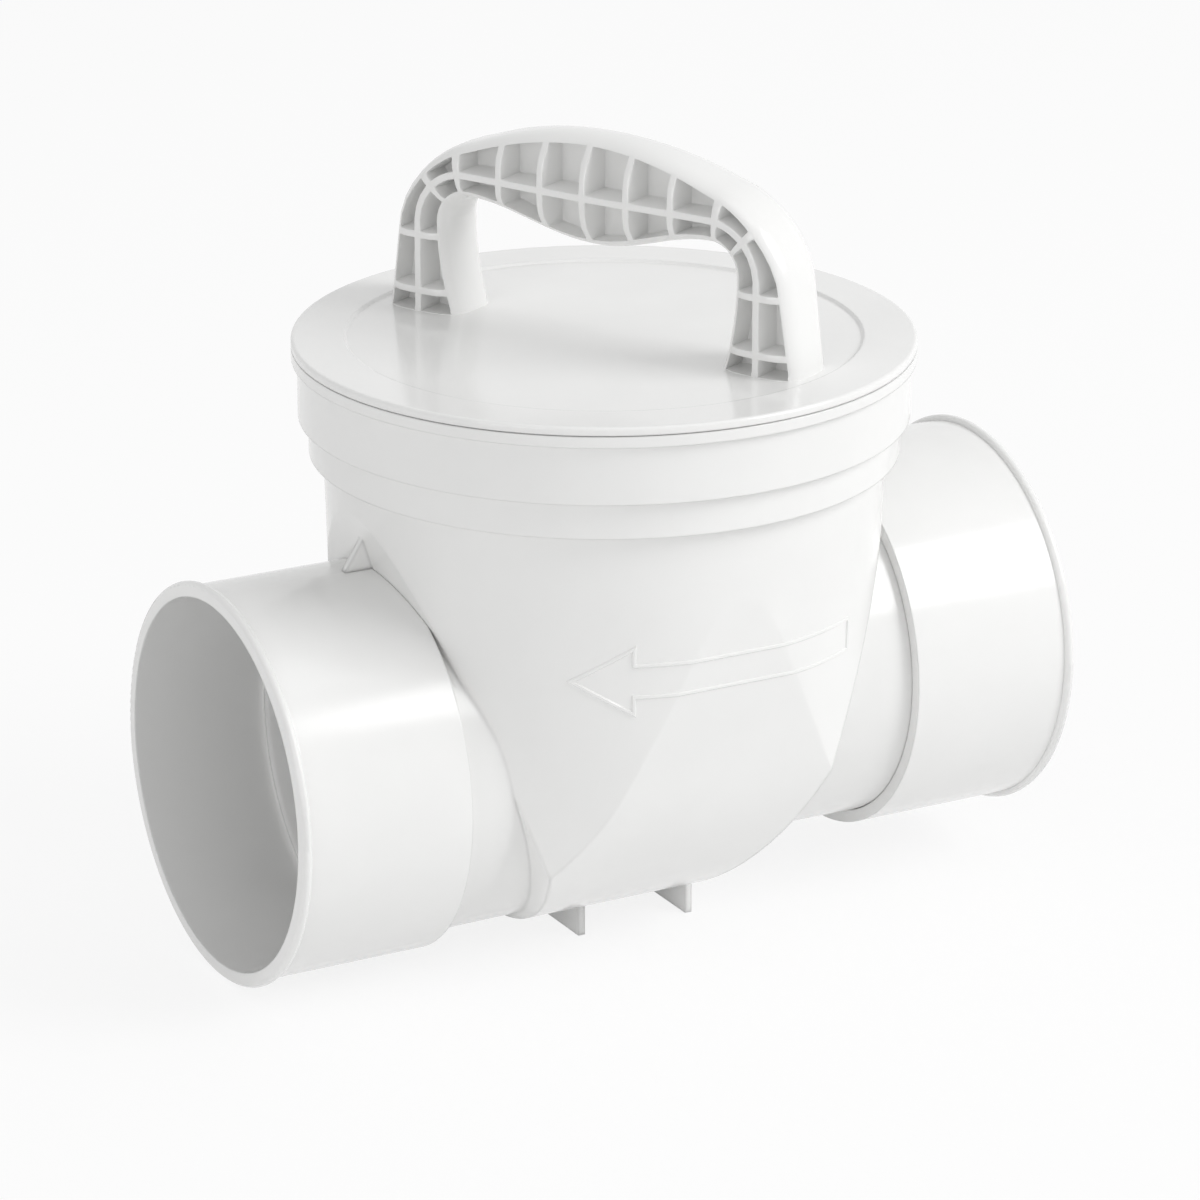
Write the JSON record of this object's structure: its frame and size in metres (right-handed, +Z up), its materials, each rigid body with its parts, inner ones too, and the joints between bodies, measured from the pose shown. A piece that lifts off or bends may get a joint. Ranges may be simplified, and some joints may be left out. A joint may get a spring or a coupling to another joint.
{
  "type": "backwater valve",
  "caption": "White plastic backwater valve for drain pipe: a chamber between two pipe sockets, with a gravity flap on a tilted seat and a round push-fit lid with an arched ribbed handle.",
  "frame": {"origin": "on the floor, at the middle of the valve's length and width, under the outlet rim and the foot ribs", "axes": "+X along the pipe towards the inlet, so the flow runs to -X; +Z up, along the lid's axis"},
  "size_m": [0.2566, 0.1828, 0.2377],
  "materials": {
    "pvc_white": "moulded gloss",
    "seal_rubber": "moulded matt",
    "stainless_steel": "drawn",
    "acetal": "moulded satin"
  },
  "bodies": {
    "casing": {"valve_body": "pvc_white", "access_collar": "pvc_white", "outlet_socket": "pvc_white", "inlet_socket": "pvc_white", "seat_ring": "pvc_white", "hinge_bracket": "pvc_white", "bracket_screws": "stainless_steel", "hinge_pin": "stainless_steel", "pin_clip": "stainless_steel"},
    "flap": {"flap": "pvc_white", "flap_seal": "seal_rubber", "seal_retainer": "pvc_white", "retainer_screws": "stainless_steel", "hinge_bush_left": "acetal", "hinge_bush_right": "acetal"},
    "lid_seals": {"lid_oring_upper": "seal_rubber", "lid_oring_lower": "seal_rubber"},
    "lid": {"lid": "pvc_white", "lid_handle": "pvc_white"}
  },
  "joints": [
    {"name": "flap_swing", "type": "hinge", "parent": "casing", "child": "flap", "pos_m": [0.05359, 0, 0.13378], "axis": [0, 1, 0], "range_deg": [0, 60]},
    {"name": "lid_lift", "type": "slide", "parent": "casing", "child": "lid_seals", "axis": [0, 0, 1], "range_m": [0, 0.06]},
    {"name": "lid_turn", "type": "hinge", "parent": "lid_seals", "child": "lid", "pos_m": [0, 0, 0.175], "axis": [0, 0, 1], "continuous": true}
  ]
}
